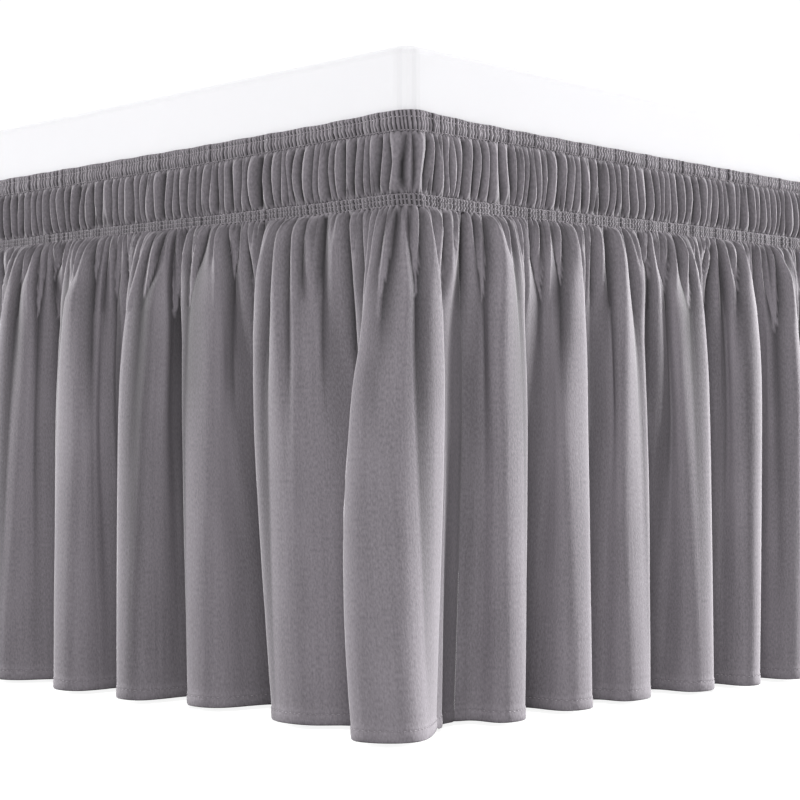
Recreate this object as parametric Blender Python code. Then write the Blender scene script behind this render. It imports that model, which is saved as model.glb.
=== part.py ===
"""Gathered bed skirt on a plain box spring: a twin bed's base on four legs, dressed all round.

Metres, +Z up. The origin is on the floor under the middle of the bed; +Y runs from foot to head.
The corner at +X, -Y is the one whose folds are set fold by fold; the rest hang alike but unevenly.
"""

from collections import namedtuple

import bmesh
import bpy
import numpy as np

# The box spring and its legs
BASE_WIDTH = 0.990
BASE_LENGTH = 1.905
BASE_TOP = 0.428
BASE_BOTTOM = 0.200
CORNER_RADIUS = 0.012
CORNER_STEPS = 6
BASE_EDGE_RADIUS = 0.006
BASE_EDGE_STEPS = 3
LEG_TOP_RADIUS = 0.030
LEG_FOOT_RADIUS = 0.022
LEG_INSET = 0.075
LEG_SIDES = 24
# An edge whose ends differ less than this in height is taken as level
LEVEL_TOLERANCE = 0.0001

# The skirt: an elastic heading that grips the base, and a ruffle that hangs from it
HEADING_TOP = 0.386
HEADING_HEIGHT = 0.054
HEADING_CORNER_EXTRA = 0.006
HEADING_CORNER_REACH = 0.22
HEM_HEIGHT = 0.003
CLOTH_THICKNESS = 0.002
PIECE_GAP = 0.0003
SEAM_GAP = 0.0005

# How the ruffle's folds stand off the base, in millimetres, and how they open out on the way
# down. At each level the crests have come out by a share of what they reach at the hem. The
# valleys stay beside the base until they are below it. A turn's level stretch takes up at most
# LEAD_SHARE of the way to the next turn, which keeps the flanks just short of upright.
HEAD_OUT = 4.5
STEPS_PER_TURN = 4
LEAD_SHARE = 0.96
SEAM_FROM_CORNER = 45.0
DropLevel = namedtuple("DropLevel", "down crest_share valley_share")
DROP_LEVELS = (
    DropLevel(down=0.00, crest_share=0.14, valley_share=0.0),
    DropLevel(down=0.06, crest_share=0.36, valley_share=0.0),
    DropLevel(down=0.16, crest_share=0.56, valley_share=0.0),
    DropLevel(down=0.42, crest_share=0.80, valley_share=0.0),
    DropLevel(down=1.00, crest_share=1.00, valley_share=1.0),
)
# A crest that reaches further than LATE_FROM millimetres, such as the fold on a corner, leans on
# the base at first and comes out late: its share is raised to this power
LATE_FROM = 50.0
LATE_POWER = 2.2

# A turn is where a fold's cloth runs along the bed: a crest, a valley or a shelf. Places are
# millimetres from the corner along the bed, at the heading and at the hem, `out` is the
# millimetres that the turn stands out from the base at the hem, and `breadth` is how far to
# each side it stays nearly level before the flank takes over.
Turn = namedtuple("Turn", "head_at hem_at out breadth", defaults=(38,))
CORNER_TURNS = (
    Turn(head_at=-46, hem_at=-16, out=8),
    Turn(head_at=-11, hem_at=-3, out=63, breadth=8),
    Turn(head_at=20, hem_at=14, out=10, breadth=13),
    Turn(head_at=SEAM_FROM_CORNER, hem_at=SEAM_FROM_CORNER, out=-3),
)
FOOT_TURNS = (
    Turn(head_at=-440, hem_at=-436, out=-14),
    Turn(head_at=-392, hem_at=-400, out=32),
    Turn(head_at=-352, hem_at=-345, out=-8),
    Turn(head_at=-317, hem_at=-310, out=37),
    Turn(head_at=-275, hem_at=-272, out=-15),
    Turn(head_at=-234, hem_at=-236, out=36),
    Turn(head_at=-210, hem_at=-205, out=-12),
    Turn(head_at=-186, hem_at=-173, out=24),
    Turn(head_at=-143, hem_at=-126, out=-28),
    Turn(head_at=-100, hem_at=-75, out=33),
)
SIDE_TURNS = (
    Turn(head_at=76, hem_at=71, out=25),
    Turn(head_at=109, hem_at=110, out=-24),
    Turn(head_at=142, hem_at=145, out=21),
    Turn(head_at=172, hem_at=177, out=-10),
    Turn(head_at=203, hem_at=210, out=18),
    Turn(head_at=238, hem_at=249, out=-17),
    Turn(head_at=274, hem_at=283, out=22),
    Turn(head_at=307, hem_at=312, out=-8),
    Turn(head_at=340, hem_at=332, out=28),
    Turn(head_at=367, hem_at=362, out=-4),
    Turn(head_at=394, hem_at=392, out=29),
    Turn(head_at=428, hem_at=430, out=-14),
)

# The folds that nobody set by hand: their usual spacing and the range of their crests and valleys
FOLD_PITCH = 72.0
FOLD_UNEVENNESS = 9.0
CREST_RANGE = (18.0, 36.0)
VALLEY_RANGE = (-28.0, -6.0)
FOLD_SEED = 7

# Half of the heading's section: how far down from its top, and how far out from the base, in
# shares of its height and in millimetres
Rim = namedtuple("Rim", "down out")
HEADING_OUTSIDE = (
    Rim(down=0.000, out=1.4),
    Rim(down=0.025, out=2.8),
    Rim(down=0.110, out=3.2),
    Rim(down=0.195, out=2.7),
    Rim(down=0.230, out=3.2),
    Rim(down=0.320, out=6.6),
    Rim(down=0.500, out=8.2),
    Rim(down=0.700, out=7.4),
    Rim(down=0.830, out=4.6),
    Rim(down=0.865, out=3.0),
    Rim(down=0.930, out=3.4),
    Rim(down=1.000, out=2.6),
)
HEADING_INSIDE_OUT = 0.5
HEADING_STATIONS = (60.0, 140.0, 260.0, 420.0)

MM = 0.001

# Edges that bend more sharply than this are left crisp; cloth is smooth nearly everywhere
HARD_SMOOTH_ANGLE = np.radians(40)
CLOTH_SMOOTH_ANGLE = np.radians(75)


def clear_scene():
    """Remove every object the file opens with."""
    for old in list(bpy.data.objects):
        bpy.data.objects.remove(old, do_unlink=True)


def material(name, colour, roughness):
    """A plain Principled material, with no metal in it."""
    made = bpy.data.materials.new(name)
    made.use_nodes = True
    shader = made.node_tree.nodes["Principled BSDF"]
    shader.inputs["Base Color"].default_value = (*colour, 1.0)
    shader.inputs["Roughness"].default_value = roughness
    shader.inputs["Metallic"].default_value = 0.0
    return made


def finish_mesh(mesh, finish, smooth_angle):
    """Give a mesh its one material, and shade it smooth but for its sharp edges."""
    mesh.materials.append(finish)
    mesh.shade_smooth()
    mesh.set_sharp_from_angle(angle=smooth_angle)


def add_object(name, mesh):
    """Link a mesh into the scene under its own name."""
    made = bpy.data.objects.new(name, mesh)
    bpy.context.scene.collection.objects.link(made)
    return made


def edge_places():
    """Break points of the walk round the base, from the middle of the +X, -Y corner's arc.

    Gives the distance walked, the heading of the outward normal and the centre that the arc
    or straight run is measured from, at each end of the four arcs and the four straights.
    """
    half_x = BASE_WIDTH / 2 - CORNER_RADIUS
    half_y = BASE_LENGTH / 2 - CORNER_RADIUS
    arc = np.pi / 2 * CORNER_RADIUS
    steps = [arc, 2 * half_y, arc, 2 * half_x, arc, 2 * half_y, arc, 2 * half_x]
    walked = np.concatenate([[0.0], np.cumsum(steps)]) - arc / 2
    angle = np.pi / 2 * np.array([-1, 0, 0, 1, 1, 2, 2, 3, 3])
    centre_x = half_x * np.array([1, 1, 1, 1, -1, -1, -1, -1, 1])
    centre_y = half_y * np.array([-1, -1, 1, 1, 1, 1, -1, -1, -1])
    return walked, angle, centre_x, centre_y


def perimeter():
    """Length of the walk round the base."""
    walked = edge_places()[0]
    return walked[-1] - walked[0]


def corner_places():
    """Distance walked to the middle of each corner's arc, and once round."""
    walked = edge_places()[0]
    return [0.0] + [(walked[i] + walked[i + 1]) / 2 for i in (2, 4, 6)] + [perimeter()]


def beside_base(along, out):
    """Plan points that lie `along` metres round the base and `out` metres off it."""
    walked, angle, centre_x, centre_y = edge_places()
    along = (along - walked[0]) % perimeter() + walked[0]
    turn = np.interp(along, walked, angle)
    reach = CORNER_RADIUS + out
    x = np.interp(along, walked, centre_x) + reach * np.cos(turn)
    y = np.interp(along, walked, centre_y) + reach * np.sin(turn)
    return x, y


def heading_bottom(along):
    """Height of the heading's lower edge, which dips a little at each corner."""
    near = np.min([np.abs(along - corner) for corner in corner_places()], axis=0)
    extra = HEADING_CORNER_EXTRA * np.exp(-((near / HEADING_CORNER_REACH) ** 2))
    return HEADING_TOP - HEADING_HEIGHT - extra


def loop_faces(rows, columns):
    """Quads of a tube that closes on itself both ways, numbered row by row."""
    faces = []
    for row in range(rows):
        for column in range(columns):
            next_row = (row + 1) % rows
            next_column = (column + 1) % columns
            faces.append((
                row * columns + column,
                row * columns + next_column,
                next_row * columns + next_column,
                next_row * columns + column,
            ))
    return faces


def grid_faces(rows, columns):
    """Quads of an open grid, numbered row by row."""
    faces = []
    for row in range(rows - 1):
        for column in range(columns - 1):
            first = row * columns + column
            faces.append((first, first + columns, first + columns + 1, first + 1))
    return faces


def build_base(finish):
    """The box spring: a block with round upright corners and softly rounded rims."""
    shape = bmesh.new()
    bmesh.ops.create_cube(shape, size=1.0)
    bmesh.ops.scale(shape, verts=shape.verts, vec=(BASE_WIDTH, BASE_LENGTH, BASE_TOP - BASE_BOTTOM))
    upright = [e for e in shape.edges if abs(e.verts[0].co.z - e.verts[1].co.z) > LEVEL_TOLERANCE]
    bmesh.ops.bevel(
        shape, geom=upright, offset=CORNER_RADIUS, segments=CORNER_STEPS, profile=0.5, affect="EDGES"
    )
    level = [e for e in shape.edges if abs(e.verts[0].co.z - e.verts[1].co.z) < LEVEL_TOLERANCE]
    bmesh.ops.bevel(
        shape, geom=level, offset=BASE_EDGE_RADIUS, segments=BASE_EDGE_STEPS, profile=0.5, affect="EDGES"
    )
    mesh = bpy.data.meshes.new("box_spring")
    shape.to_mesh(mesh)
    shape.free()
    finish_mesh(mesh, finish, HARD_SMOOTH_ANGLE)
    add_object("box_spring", mesh).location.z = (BASE_TOP + BASE_BOTTOM) / 2


def build_legs(finish):
    """Four tapered legs, one under each corner of the box spring."""
    height = BASE_BOTTOM - PIECE_GAP
    shape = bmesh.new()
    bmesh.ops.create_cone(
        shape,
        cap_ends=True,
        segments=LEG_SIDES,
        radius1=LEG_FOOT_RADIUS,
        radius2=LEG_TOP_RADIUS,
        depth=height,
    )
    mesh = bpy.data.meshes.new("leg")
    shape.to_mesh(mesh)
    shape.free()
    finish_mesh(mesh, finish, HARD_SMOOTH_ANGLE)
    for name, side_x, side_y in (
        ("leg_foot_right", 1, -1),
        ("leg_foot_left", -1, -1),
        ("leg_head_right", 1, 1),
        ("leg_head_left", -1, 1),
    ):
        add_object(name, mesh).location = (
            side_x * (BASE_WIDTH / 2 - LEG_INSET),
            side_y * (BASE_LENGTH / 2 - LEG_INSET),
            height / 2,
        )


def heading_stations():
    """Distances round the base at which the heading's section is placed."""
    walked = edge_places()[0]
    stations = []
    for start in walked[:-1:2]:
        arc_end = start + np.pi / 2 * CORNER_RADIUS
        stations.extend(np.linspace(start, arc_end, CORNER_STEPS + 1))
        stations.extend(arc_end + MM * np.array(HEADING_STATIONS))
    for end in walked[2::2]:
        stations.extend(end - MM * np.array(HEADING_STATIONS))
    return np.array(sorted(stations))


def build_heading(finish):
    """The elastic heading: casing, puffed band and shirring, one strip that rings the base."""
    along = heading_stations()
    outside = [(rim.down, MM * rim.out) for rim in HEADING_OUTSIDE]
    section = outside + [(1.0, MM * HEADING_INSIDE_OUT), (0.0, MM * HEADING_INSIDE_OUT)]
    rows = []
    for down, out in section:
        x, y = beside_base(along, out)
        z = HEADING_TOP + (heading_bottom(along) - HEADING_TOP) * down
        rows.append(np.column_stack([x, y, z]))
    mesh = bpy.data.meshes.new("heading")
    faces = loop_faces(len(section), len(along))
    mesh.from_pydata(np.concatenate(rows).tolist(), [], [face[::-1] for face in faces])
    finish_mesh(mesh, finish, CLOTH_SMOOTH_ANGLE)
    add_object("heading", mesh)


def shifted(turns, by, mirrored=False):
    """The same turns laid out from another corner, or in its mirror image."""
    if mirrored:
        return [
            turn._replace(head_at=by - turn.head_at, hem_at=by - turn.hem_at) for turn in reversed(turns)
        ]
    return [turn._replace(head_at=by + turn.head_at, hem_at=by + turn.hem_at) for turn in turns]


def filled(start, end, chance):
    """Uneven folds between two valleys, about one to each usual spacing."""
    count = max(1, round((end - start) / FOLD_PITCH))
    turns = []
    for place in np.linspace(start, end, 2 * count + 1)[1:-1]:
        is_crest = len(turns) % 2 == 0
        out = chance.uniform(*(CREST_RANGE if is_crest else VALLEY_RANGE))
        hem_at = place + chance.uniform(-FOLD_UNEVENNESS, FOLD_UNEVENNESS)
        head_at = place + chance.uniform(-FOLD_UNEVENNESS, FOLD_UNEVENNESS)
        turns.append(Turn(head_at, hem_at, out))
    return turns


def width_turns():
    """The turns of each of the ruffle's four widths, seam to seam, in millimetres."""
    chance = np.random.default_rng(FOLD_SEED)
    near_right, far_right, far_left, near_left, again = [place / MM for place in corner_places()]
    right = shifted(CORNER_TURNS[-1:], near_right) + list(SIDE_TURNS)
    right += filled(right[-1].hem_at, far_right - SEAM_FROM_CORNER, chance)
    right += shifted(CORNER_TURNS[-1:], far_right, mirrored=True)
    head = shifted(CORNER_TURNS, far_right, mirrored=True)
    head += filled(head[-1].hem_at, far_left + CORNER_TURNS[0].hem_at, chance)
    head += shifted(CORNER_TURNS, far_left)
    left = shifted(CORNER_TURNS[-1:], far_left)
    left += filled(left[-1].hem_at, near_left - SEAM_FROM_CORNER, chance)
    left += shifted(CORNER_TURNS[-1:], near_left, mirrored=True)
    foot = shifted(CORNER_TURNS, near_left, mirrored=True)
    shown_foot = shifted(FOOT_TURNS, again)
    foot += filled(foot[-1].hem_at, shown_foot[0].hem_at, chance)
    foot += shown_foot + shifted(CORNER_TURNS, again)
    return {
        "ruffle_side_right": right,
        "ruffle_head": head,
        "ruffle_side_left": left,
        "ruffle_foot": foot,
    }


def fold_line(turns, level):
    """Where one level of a ruffle's cloth runs: metres along the base and out from it.

    Between two turns the cloth follows a Bezier curve whose ends both run along the bed, so
    every turn is round and the flank between is steep.
    """
    head_at, hem_at, hem_out, breadth = np.array(turns).T
    at = head_at + (hem_at - head_at) * level.down
    coming = level.crest_share ** np.where(hem_out > LATE_FROM, LATE_POWER, 1.0)
    share = np.where(hem_out > HEAD_OUT, coming, level.valley_share)
    out = HEAD_OUT + (hem_out - HEAD_OUT) * share
    part = np.arange(STEPS_PER_TURN) / STEPS_PER_TURN
    start, end = at[:-1, None], at[1:, None]
    lead = np.minimum(breadth[:-1, None], LEAD_SHARE * (end - start))
    follow = np.minimum(breadth[1:, None], LEAD_SHARE * (end - start))
    along = (
        (1 - part) ** 3 * start
        + 3 * (1 - part) ** 2 * part * (start + lead)
        + 3 * (1 - part) * part**2 * (end - follow)
        + part**3 * end
    )
    rise = (3 - 2 * part) * part**2
    stand = out[:-1, None] + (out[1:] - out[:-1])[:, None] * rise
    along = np.append(along.ravel(), at[-1])
    stand = np.append(stand.ravel(), out[-1])
    along[0] += SEAM_GAP / MM
    along[-1] -= SEAM_GAP / MM
    return along * MM, stand * MM


def build_ruffle(name, turns, finish):
    """One width of the ruffle: a sheet in its folds, from the shirring to the hem."""
    rows = []
    for level in DROP_LEVELS:
        along, out = fold_line(turns, level)
        x, y = beside_base(along, out)
        top = heading_bottom(along) - PIECE_GAP
        rows.append(np.column_stack([x, y, top + (HEM_HEIGHT - top) * level.down]))
    columns = len(rows[0])
    mesh = bpy.data.meshes.new(name)
    mesh.from_pydata(np.concatenate(rows).tolist(), [], grid_faces(len(rows), columns))
    finish_mesh(mesh, finish, CLOTH_SMOOTH_ANGLE)
    cloth = add_object(name, mesh).modifiers.new("cloth thickness", "SOLIDIFY")
    cloth.thickness = CLOTH_THICKNESS
    cloth.offset = 0.0
    cloth.use_even_offset = True


def build():
    """Build the whole object, each piece under its own name."""
    clear_scene()
    ticking = material("white ticking", (0.86, 0.86, 0.88), 0.85)
    timber = material("dark timber", (0.10, 0.07, 0.05), 0.55)
    microfibre = material("grey mauve microfibre", (0.24, 0.22, 0.24), 0.75)
    build_base(ticking)
    build_legs(timber)
    build_heading(microfibre)
    for name, turns in width_turns().items():
        build_ruffle(name, turns, microfibre)


build()
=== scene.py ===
# %% [markdown]
# # A gathered bed skirt on its box spring
#
# A bed skirt hides the space under a bed. This one is a wrap-around skirt: an elastic heading grips
# the base, and a full ruffle hangs from it to just above the floor. The frame that is loaded here
# holds the plain solids; this lesson puts finely gathered cloth on them, piece by piece.

from collections import namedtuple

import bpy
import numpy as np
from mathutils import Matrix, Vector


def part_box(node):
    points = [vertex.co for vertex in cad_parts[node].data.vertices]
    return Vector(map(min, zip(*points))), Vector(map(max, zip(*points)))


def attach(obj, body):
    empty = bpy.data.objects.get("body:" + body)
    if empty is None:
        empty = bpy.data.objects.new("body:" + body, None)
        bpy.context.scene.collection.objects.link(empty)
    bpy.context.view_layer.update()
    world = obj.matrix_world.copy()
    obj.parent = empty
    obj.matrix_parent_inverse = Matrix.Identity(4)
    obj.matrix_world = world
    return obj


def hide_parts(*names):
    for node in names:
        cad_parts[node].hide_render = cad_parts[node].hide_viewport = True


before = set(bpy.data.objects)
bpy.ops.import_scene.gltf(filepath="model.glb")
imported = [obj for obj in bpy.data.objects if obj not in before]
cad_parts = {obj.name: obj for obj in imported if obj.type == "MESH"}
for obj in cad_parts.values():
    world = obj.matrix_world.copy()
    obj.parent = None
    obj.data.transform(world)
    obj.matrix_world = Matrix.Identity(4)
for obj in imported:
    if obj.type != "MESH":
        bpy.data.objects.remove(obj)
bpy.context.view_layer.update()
MM = 0.001
print("solids in the frame:", ", ".join(sorted(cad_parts)))

# %% [markdown]
# ## The walk round the base
#
# Cloth on a bed is easiest to lay out along one line: the walk round the base. Every place is then
# a distance walked and a distance out from the base, and the corners look after themselves. The
# walk starts in the middle of the corner nearest the camera and runs up the right side first.

# %% Measure the walk
CORNER_RADIUS = 0.012
base_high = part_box("box_spring")[1]
HALF_X = base_high[0] - CORNER_RADIUS
HALF_Y = base_high[1] - CORNER_RADIUS
ARC = np.pi / 2 * CORNER_RADIUS
WALKED = np.cumsum([-ARC / 2] + [ARC, 2 * HALF_Y, ARC, 2 * HALF_X] * 2)
FACING = np.pi / 2 * np.array([-1, 0, 0, 1, 1, 2, 2, 3, 3])
CENTRE_X = HALF_X * np.array([1, 1, 1, 1, -1, -1, -1, -1, 1])
CENTRE_Y = HALF_Y * np.array([-1, -1, 1, 1, 1, 1, -1, -1, -1])
PERIMETER = WALKED[-1] - WALKED[0]
CORNERS = np.array([0.0, *(WALKED[[2, 4, 6]] + ARC / 2), PERIMETER])
print(f"once round the base is {PERIMETER:.3f} m")

# %% Places beside the base


def beside_base(along, out):
    """Plan points `along` metres round the base and `out` metres off it.

    Each is a corner's centre plus (corner radius + out) times the outward direction.
    """
    along = (along - WALKED[0]) % PERIMETER + WALKED[0]
    facing = np.interp(along, WALKED, FACING)
    reach = CORNER_RADIUS + out
    x = np.interp(along, WALKED, CENTRE_X) + reach * np.cos(facing)
    y = np.interp(along, WALKED, CENTRE_Y) + reach * np.sin(facing)
    return x, y


def clear_of_base(x, y, gap):
    """Points pushed straight out where they stand less than `gap` off the base.

    The distance to a block with round corners is the length of what reaches past the corners'
    centres, less the corners' radius.
    """
    past_x = np.maximum(np.abs(x) - HALF_X, 0)
    past_y = np.maximum(np.abs(y) - HALF_Y, 0)
    past = np.maximum(np.hypot(past_x, past_y), 1e-6)
    push = np.maximum(gap - (past - CORNER_RADIUS), 0) / past
    return x + np.sign(x) * past_x * push, y + np.sign(y) * past_y * push


def from_shown_corner(along):
    """Signed distance along the base from the corner nearest the camera, left of it negative."""
    return (along + PERIMETER / 2) % PERIMETER - PERIMETER / 2


# %% The heading's lower edge
HEADING_TOP = 0.386
HEADING_HEIGHT = 0.054
HEADING_CORNER_EXTRA = 0.006
HEADING_CORNER_REACH = 0.22
HEM_HEIGHT = 0.003


def heading_bottom(along):
    """Height of the heading's lower edge: level, with a bell-shaped dip at each corner."""
    near = np.min([np.abs(along - corner) for corner in CORNERS], axis=0)
    extra = HEADING_CORNER_EXTRA * np.exp(-((near / HEADING_CORNER_REACH) ** 2))
    return HEADING_TOP - HEADING_HEIGHT - extra


# %% [markdown]
# ## From arrays to a mesh
#
# Every piece here is worked out as arrays of points on a grid: rows down the cloth, columns along
# it. These helpers turn such a grid into a mesh, with a UV map in metres of cloth, so that the
# nap of the cloth follows its folds.

# %% Mesh helpers


def grid_faces(rows, columns, first=0):
    """Corners of the quads of an open grid whose points are numbered row by row."""
    start = (first + np.arange(rows - 1)[:, None] * columns + np.arange(columns - 1)).ravel()
    return np.column_stack([start, start + columns, start + columns + 1, start + 1])


def new_piece(name, points, faces, corner_uv, finish, hollow):
    """A smooth mesh object made from points, lists of faces and a UV place for each corner.

    `hollow` is shade painted on each point, and darkens its colour: 1 in a sharp crease, 0 on open
    cloth.
    """
    mesh = bpy.data.meshes.new(name)
    mesh.from_pydata(points.tolist(), [], [face for block in faces for face in block.tolist()])
    uv_map = mesh.uv_layers.new(name="cloth")
    uv_map.data.foreach_set("uv", corner_uv.astype(np.float32).ravel())
    depth = mesh.attributes.new("hollow", "FLOAT", "POINT")
    depth.data.foreach_set("value", hollow.astype(np.float32))
    mesh.materials.append(finish)
    mesh.shade_smooth()
    piece = bpy.data.objects.new(name, mesh)
    bpy.context.scene.collection.objects.link(piece)
    triangles = sum(len(block) * (block.shape[1] - 2) for block in faces)
    print(f"{name}: {triangles} triangles")
    return piece


# %% [markdown]
# ## Finishes
#
# The cloth is a brushed microfibre in a grey mauve. Its short nap catches light that grazes it,
# so the rim of every fold shines: that is the shader's sheen. Fine streaks run down the drop
# where the nap lies one way or the other, and a larger mottling keeps the colour from looking
# dyed by a machine. One node group makes those patterns for cloth, elastic and thread, and
# darkens the colour by the shade that is painted on each mesh in its creases.

# %% Node helpers


def add_node(tree, kind, values=None, **settings):
    """A new node with its settings and the values of its unlinked sockets."""
    made = tree.nodes.new(kind)
    for key, value in settings.items():
        setattr(made, key, value)
    for socket, value in (values or {}).items():
        made.inputs[socket].default_value = value
    return made


def noise_at(tree, vector, stretch, detail=2.0):
    """Noise on a vector that is first scaled by its own amount in each direction."""
    scaled = add_node(tree, "ShaderNodeVectorMath", {1: stretch}, operation="MULTIPLY")
    tree.links.new(vector, scaled.inputs[0])
    noise = add_node(tree, "ShaderNodeTexNoise", {"Scale": 1.0, "Detail": detail})
    tree.links.new(scaled.outputs["Vector"], noise.inputs["Vector"])
    return noise.outputs["Fac"]


def calculated(tree, operation, first, second, third=None):
    """The output of a Math node; each input is a number or another node's output."""
    made = add_node(tree, "ShaderNodeMath", operation=operation)
    for socket, value in zip(made.inputs, (first, second, third)):
        if value is None:
            continue
        if isinstance(value, (int, float)):
            socket.default_value = value
        else:
            tree.links.new(value, socket)
    return made.outputs[0]


# %% The pattern of brushed cloth
# Waves of each pattern in a metre of cloth, along it and down it
NAP_WAVES = (900, 420, 1)
STREAK_WAVES = (330, 16, 1)
MOTTLE_WAVES = (22, 12, 1)
# How far the painted shade darkens the colour at its deepest
PAINTED_SHADE_STRENGTH = 0.95


def brushed_cloth_group():
    """Node group: from a place on the cloth in metres and its painted shade to colour, roughness and
    height.
    """
    group = bpy.data.node_groups.new("brushed cloth", "ShaderNodeTree")
    sockets = (
        ("Place", "INPUT", "NodeSocketVector"),
        ("Light", "INPUT", "NodeSocketColor"),
        ("Dark", "INPUT", "NodeSocketColor"),
        ("Streaks", "INPUT", "NodeSocketFloat"),
        ("Hollow", "INPUT", "NodeSocketFloat"),
        ("Color", "OUTPUT", "NodeSocketColor"),
        ("Roughness", "OUTPUT", "NodeSocketFloat"),
        ("Height", "OUTPUT", "NodeSocketFloat"),
    )
    for name, way, kind in sockets:
        group.interface.new_socket(name, in_out=way, socket_type=kind)
    entry = add_node(group, "NodeGroupInput")
    leave = add_node(group, "NodeGroupOutput")
    place = entry.outputs["Place"]
    nap = noise_at(group, place, NAP_WAVES, 3.0)
    streaks = noise_at(group, place, STREAK_WAVES)
    mottle = noise_at(group, place, MOTTLE_WAVES)
    uneven = calculated(group, "SUBTRACT", streaks, 0.5)
    shade = calculated(group, "MULTIPLY_ADD", uneven, entry.outputs["Streaks"], 0.5)
    shade = calculated(group, "ADD", shade, calculated(group, "MULTIPLY_ADD", nap, 2.0, -1.0))
    shade = calculated(group, "ADD", shade, calculated(group, "MULTIPLY_ADD", mottle, 0.8, -0.4))
    colour = add_node(group, "ShaderNodeMix", data_type="RGBA")
    group.links.new(shade, colour.inputs["Factor"])
    group.links.new(entry.outputs["Dark"], colour.inputs[6])
    group.links.new(entry.outputs["Light"], colour.inputs[7])
    shaded_colour = add_node(group, "ShaderNodeVectorMath", operation="SCALE")
    group.links.new(colour.outputs[2], shaded_colour.inputs[0])
    lit = calculated(group, "MULTIPLY_ADD", entry.outputs["Hollow"], -PAINTED_SHADE_STRENGTH, 1.0)
    group.links.new(lit, shaded_colour.inputs["Scale"])
    group.links.new(shaded_colour.outputs["Vector"], leave.inputs["Color"])
    rough = calculated(group, "MULTIPLY_ADD", streaks, 0.16, 0.72)
    group.links.new(rough, leave.inputs["Roughness"])
    height = calculated(group, "ADD", nap, calculated(group, "MULTIPLY", streaks, 0.6))
    group.links.new(height, leave.inputs["Height"])
    return group


BRUSHED_CLOTH = brushed_cloth_group()

# %% The cloth materials


def cloth_material(name, light, dark, streaks, sheen, bump):
    """A brushed cloth: the shared pattern, darkened by the mesh's painted shade, feeds a Principled
    shader with a soft sheen.
    """
    made = bpy.data.materials.new(name)
    made.use_nodes = True
    tree = made.node_tree
    shader = tree.nodes["Principled BSDF"]
    shader.inputs["Sheen Weight"].default_value = sheen
    shader.inputs["Sheen Roughness"].default_value = 0.3
    shader.inputs["Sheen Tint"].default_value = (1.0, 0.97, 1.0, 1.0)
    shader.inputs["Specular IOR Level"].default_value = 0.25
    place = add_node(tree, "ShaderNodeUVMap", uv_map="cloth")
    hollow = add_node(tree, "ShaderNodeAttribute", attribute_name="hollow")
    pattern = add_node(tree, "ShaderNodeGroup", node_tree=BRUSHED_CLOTH)
    tree.links.new(hollow.outputs["Fac"], pattern.inputs["Hollow"])
    pattern.inputs["Light"].default_value = (*light, 1.0)
    pattern.inputs["Dark"].default_value = (*dark, 1.0)
    pattern.inputs["Streaks"].default_value = streaks
    relief = add_node(tree, "ShaderNodeBump", {"Strength": bump, "Distance": 0.0004})
    tree.links.new(place.outputs["UV"], pattern.inputs["Place"])
    tree.links.new(pattern.outputs["Color"], shader.inputs["Base Color"])
    tree.links.new(pattern.outputs["Roughness"], shader.inputs["Roughness"])
    tree.links.new(pattern.outputs["Height"], relief.inputs["Height"])
    tree.links.new(relief.outputs["Normal"], shader.inputs["Normal"])
    return made


MICROFIBRE = cloth_material(
    "grey mauve microfibre", (0.200, 0.183, 0.203), (0.120, 0.110, 0.122), 0.6, 0.25, 0.5
)
# The same microfibre where it covers the elastics, its colours a little lighter: painted light on the
# ribs' crests
ELASTIC_CLOTH_PAINTED_LIGHTER = cloth_material(
    "microfibre over elastic, painted lighter", (0.218, 0.200, 0.221), (0.125, 0.115, 0.127), 0.5, 0.20, 0.6
)
THREAD = cloth_material("sewing thread", (0.31, 0.29, 0.31), (0.22, 0.20, 0.22), 0.3, 0.2, 0.2)
print("cloth finishes:", ", ".join(finish.name for finish in (MICROFIBRE, ELASTIC_CLOTH_PAINTED_LIGHTER, THREAD)))

# %% [markdown]
# ## The main folds
#
# A full ruffle hangs in deep folds that are packed together at the heading and open out towards
# the hem. Each fold is a crest between two valleys. The folds at the corner nearest the camera
# are set one by one; the rest are drawn by chance from the same range, with a fixed seed, so
# that every run hangs the same skirt.

# %% Set the main folds
# Here and in the tables below, places along the cloth and distances out are in millimetres
HEAD_OUT = 4.5
LEAD_SHARE = 0.96
SEAM_FROM_CORNER = 45.0
Turn = namedtuple("Turn", "head_at hem_at out breadth", defaults=(38,))
CORNER_TURNS = (
    Turn(head_at=-46, hem_at=-16, out=8),
    Turn(head_at=-11, hem_at=-3, out=63, breadth=8),
    Turn(head_at=20, hem_at=14, out=10, breadth=13),
    Turn(head_at=SEAM_FROM_CORNER, hem_at=SEAM_FROM_CORNER, out=-3),
)
# The turns of the foot and of the side as (head_at, hem_at, out), in millimetres from the corner
FOOT_TURNS = [Turn(*values) for values in (
    (-440, -436, -14), (-392, -400, 32), (-352, -345, -8), (-317, -310, 37), (-275, -272, -15),
    (-234, -236, 36), (-210, -205, -12), (-186, -173, 24), (-143, -126, -28), (-100, -75, 33),
)]
SIDE_TURNS = [Turn(*values) for values in (
    (76, 71, 25), (109, 110, -24), (142, 145, 21), (172, 177, -10), (203, 210, 18),
    (238, 249, -17), (274, 283, 22), (307, 312, -8), (340, 332, 28), (367, 362, -4),
    (394, 392, 29), (428, 430, -14),
)]
FOLD_PITCH = 72.0
FOLD_UNEVENNESS = 9.0
CREST_RANGE = (18.0, 36.0)
VALLEY_RANGE = (-28.0, -6.0)
FOLD_SEED = 7
print(f"{len(FOOT_TURNS) + len(CORNER_TURNS) + len(SIDE_TURNS)} turns are set one by one")


def shifted(turns, by, mirrored=False):
    """The same turns laid out from another corner, or in its mirror image."""
    if mirrored:
        return [
            turn._replace(head_at=by - turn.head_at, hem_at=by - turn.hem_at) for turn in reversed(turns)
        ]
    return [turn._replace(head_at=by + turn.head_at, hem_at=by + turn.hem_at) for turn in turns]


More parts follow.
